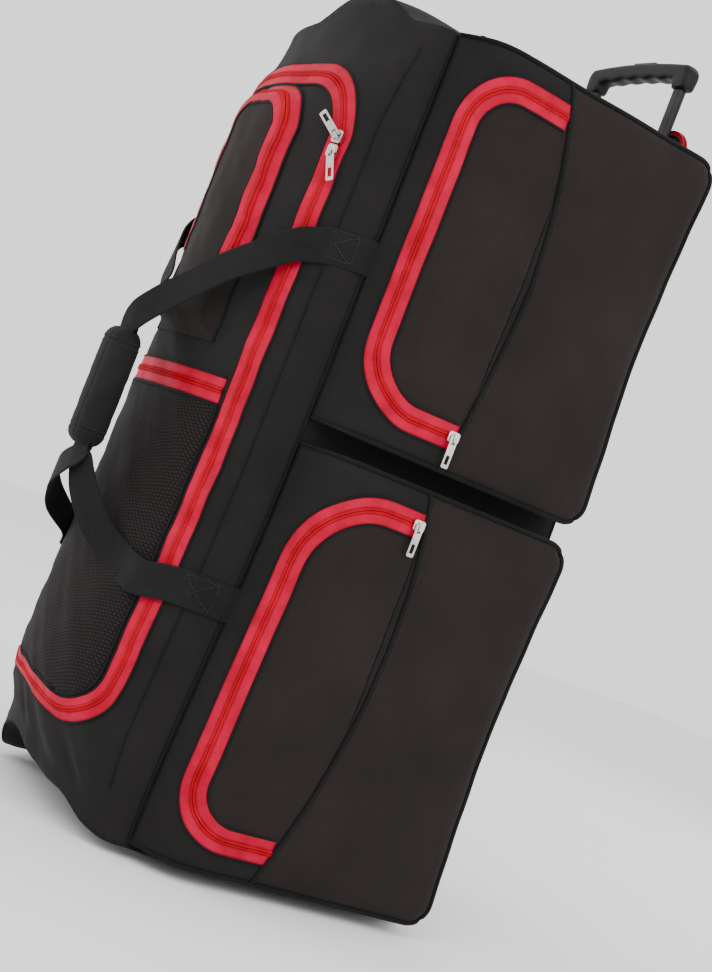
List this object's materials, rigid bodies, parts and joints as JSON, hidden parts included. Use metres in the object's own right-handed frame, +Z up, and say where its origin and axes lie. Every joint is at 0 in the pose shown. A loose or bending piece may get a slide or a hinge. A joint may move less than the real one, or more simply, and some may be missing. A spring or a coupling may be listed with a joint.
{
  "type": "rolling duffel bag",
  "caption": "Tall soft duffel bag standing on two wheels and feet, with a zipped domed lid, puffed side pockets, wrapped webbing handles and a telescopic trolley handle.",
  "frame": {"origin": "bottom centre of the whole bag, on the floor it stands on", "axes": "+Z up along the bag, the domed lid faces -Y and the trolley handle is at +Y"},
  "size_m": [0.4736, 0.536, 1.0655],
  "materials": {
    "black_fabric": "matt woven polyester",
    "panel_fabric": "matt woven polyester",
    "wrap_fabric": "matt knit over foam",
    "webbing": "ribbed webbing",
    "mesh": "fine mesh",
    "red_zip": "satin woven zip tape",
    "silver_metal": "plated zinc",
    "steel": "plain steel",
    "dark_tube": "dark satin",
    "black_plastic": "fine texture",
    "grey_plastic": "satin",
    "board": "sheet polyethylene",
    "tyre": "smooth"
  },
  "bodies": {
    "bag": {"side_panels": "black_fabric", "back_panel": "black_fabric", "bottom_end_panel": "black_fabric", "top_end_panel": "black_fabric", "front_panel": "black_fabric", "back_stiffener_board": "board", "main_zip_body_tape": "red_zip", "upper_right_pocket": "panel_fabric", "lower_right_pocket": "panel_fabric", "upper_left_pocket": "panel_fabric", "lower_left_pocket": "panel_fabric", "side_pocket_zips": "red_zip", "right_carry_strap": "webbing", "left_carry_strap": "webbing", "handle_wrap": "wrap_fabric", "d_ring_tab": "webbing", "outer_tubes": "dark_tube", "tube_guide": "black_plastic", "tube_foot_bracket": "black_plastic", "rear_cover": "black_fabric", "wheel_housing_right": "black_plastic", "wheel_housing_left": "black_plastic", "wheel_axles": "steel", "front_feet": "black_plastic"},
    "lid": {"lid_panel": "black_fabric", "main_zip_lid_tape": "red_zip", "lid_pocket": "panel_fabric", "lid_pocket_zip": "red_zip", "mesh_pocket": "mesh", "mesh_pocket_zip": "red_zip"},
    "ring": {"d_ring": "silver_metal"},
    "rear_flap": {"handle_flap": "black_fabric", "handle_flap_zip": "red_zip"},
    "middle_stage": {"middle_tubes": "dark_tube"},
    "upper_stage": {"upper_tubes": "dark_tube", "trolley_grip": "black_plastic", "button_spring": "steel"},
    "button": {"release_button": "grey_plastic"},
    "right_wheel": {"wheel_hub_right": "grey_plastic", "wheel_tyre_right": "tyre", "wheel_bearings_right": "steel"},
    "left_wheel": {"wheel_hub_left": "grey_plastic", "wheel_tyre_left": "tyre", "wheel_bearings_left": "steel"},
    "upper_right_flap": {"upper_right_pocket_flap": "panel_fabric"},
    "upper_right_slider": {"upper_right_pocket_slider": "silver_metal"},
    "upper_right_pull": {"upper_right_pocket_pull": "silver_metal"},
    "upper_left_flap": {"upper_left_pocket_flap": "panel_fabric"},
    "upper_left_slider": {"upper_left_pocket_slider": "silver_metal"},
    "upper_left_pull": {"upper_left_pocket_pull": "silver_metal"},
    "lower_right_flap": {"lower_right_pocket_flap": "panel_fabric"},
    "lower_right_slider": {"lower_right_pocket_slider": "silver_metal"},
    "lower_right_pull": {"lower_right_pocket_pull": "silver_metal"},
    "lower_left_flap": {"lower_left_pocket_flap": "panel_fabric"},
    "lower_left_slider": {"lower_left_pocket_slider": "silver_metal"},
    "lower_left_pull": {"lower_left_pocket_pull": "silver_metal"},
    "main_slider_upper": {"main_slider_upper": "silver_metal"},
    "main_pull_upper": {"main_pull_upper": "silver_metal"},
    "main_slider_lower": {"main_slider_lower": "silver_metal"},
    "main_pull_lower": {"main_pull_lower": "silver_metal"}
  },
  "joints": [
    {"name": "lid_hinge", "type": "hinge", "parent": "bag", "child": "lid", "pos_m": [-0.135, -0.16866, 0.471], "axis": [0, 0, -1], "range_deg": [0, 95], "deforming": ["right_carry_strap", "left_carry_strap", "handle_wrap"]},
    {"name": "d_ring_swing", "type": "hinge", "parent": "bag", "child": "ring", "pos_m": [0.168, -0.07, 0.9272], "axis": [0, 1, 0], "range_deg": [-70, 70]},
    {"name": "rear_flap_fold", "type": "hinge", "parent": "bag", "child": "rear_flap", "pos_m": [0, 0.2682, 0.918], "axis": [-1, 0, 0], "range_deg": [0, 165]},
    {"name": "lower_stage_slide", "type": "slide", "parent": "bag", "child": "middle_stage", "axis": [0, 0, 1], "range_m": [0, 0.22]},
    {"name": "upper_stage_slide", "type": "slide", "parent": "middle_stage", "child": "upper_stage", "axis": [0, 0, 1], "range_m": [-0.09, 0.22]},
    {"name": "button_press", "type": "slide", "parent": "upper_stage", "child": "button", "axis": [0, 0, -1], "range_m": [0, 0.004], "stiffness_N_per_m": 600, "springref_m": -0.001, "deforming": ["button_spring"]},
    {"name": "right_wheel_spin", "type": "hinge", "parent": "bag", "child": "right_wheel", "pos_m": [0.151, 0.234, 0.03], "axis": [1, 0, 0], "continuous": true},
    {"name": "left_wheel_spin", "type": "hinge", "parent": "bag", "child": "left_wheel", "pos_m": [-0.151, 0.234, 0.03], "axis": [1, 0, 0], "continuous": true},
    {"name": "upper_right_flap_fold", "type": "hinge", "parent": "bag", "child": "upper_right_flap", "pos_m": [0.226, 0.048, 0.708], "axis": [0, 0, 1], "range_deg": [0, 100]},
    {"name": "upper_right_slider_run", "type": "slide", "parent": "upper_right_flap", "child": "upper_right_slider", "axis": [0, -1, 0], "range_m": [0, 0.085]},
    {"name": "upper_right_pull_swing", "type": "hinge", "parent": "upper_right_slider", "child": "upper_right_pull", "pos_m": [0.2344, 0.035, 0.529], "axis": [0, -1, 0], "range_deg": [0, 150]},
    {"name": "upper_left_flap_fold", "type": "hinge", "parent": "bag", "child": "upper_left_flap", "pos_m": [-0.226, 0.048, 0.708], "axis": [0, 0, -1], "range_deg": [0, 100]},
    {"name": "upper_left_slider_run", "type": "slide", "parent": "upper_left_flap", "child": "upper_left_slider", "axis": [0, -1, 0], "range_m": [0, 0.085]},
    {"name": "upper_left_pull_swing", "type": "hinge", "parent": "upper_left_slider", "child": "upper_left_pull", "pos_m": [-0.2344, 0.035, 0.529], "axis": [0, 1, 0], "range_deg": [0, 150]},
    {"name": "lower_right_flap_fold", "type": "hinge", "parent": "bag", "child": "lower_right_flap", "pos_m": [0.226, 0.048, 0.2415], "axis": [0, 0, 1], "range_deg": [0, 100]},
    {"name": "lower_right_slider_run", "type": "slide", "parent": "lower_right_flap", "child": "lower_right_slider", "axis": [0, -1, 0], "range_m": [0, 0.085]},
    {"name": "lower_right_pull_swing", "type": "hinge", "parent": "lower_right_slider", "child": "lower_right_pull", "pos_m": [0.2344, 0.035, 0.429], "axis": [0, -1, 0], "range_deg": [0, 150]},
    {"name": "lower_left_flap_fold", "type": "hinge", "parent": "bag", "child": "lower_left_flap", "pos_m": [-0.226, 0.048, 0.2415], "axis": [0, 0, -1], "range_deg": [0, 100]},
    {"name": "lower_left_slider_run", "type": "slide", "parent": "lower_left_flap", "child": "lower_left_slider", "axis": [0, -1, 0], "range_m": [0, 0.085]},
    {"name": "lower_left_pull_swing", "type": "hinge", "parent": "lower_left_slider", "child": "lower_left_pull", "pos_m": [-0.2344, 0.035, 0.429], "axis": [0, 1, 0], "range_deg": [0, 150]},
    {"name": "main_slider_upper_run", "type": "hinge", "parent": "lid", "child": "main_slider_upper", "pos_m": [0.08286, -0.19934, 0.776], "axis": [0.5071, -0.8619, 0], "range_deg": [0, 30]},
    {"name": "main_pull_upper_swing", "type": "hinge", "parent": "main_slider_upper", "child": "main_pull_upper", "pos_m": [0.13926, -0.1759, 0.776], "axis": [0.5306, 0.3122, 0.788], "range_deg": [0, 150]},
    {"name": "main_slider_lower_run", "type": "slide", "parent": "lid", "child": "main_slider_lower", "axis": [0, 0, -1], "range_m": [0, 0.56]},
    {"name": "main_pull_lower_swing", "type": "hinge", "parent": "main_slider_lower", "child": "main_pull_lower", "pos_m": [0.13926, -0.1759, 0.76], "axis": [-0.7991, -0.4702, -0.3746], "range_deg": [0, 150]}
  ]
}
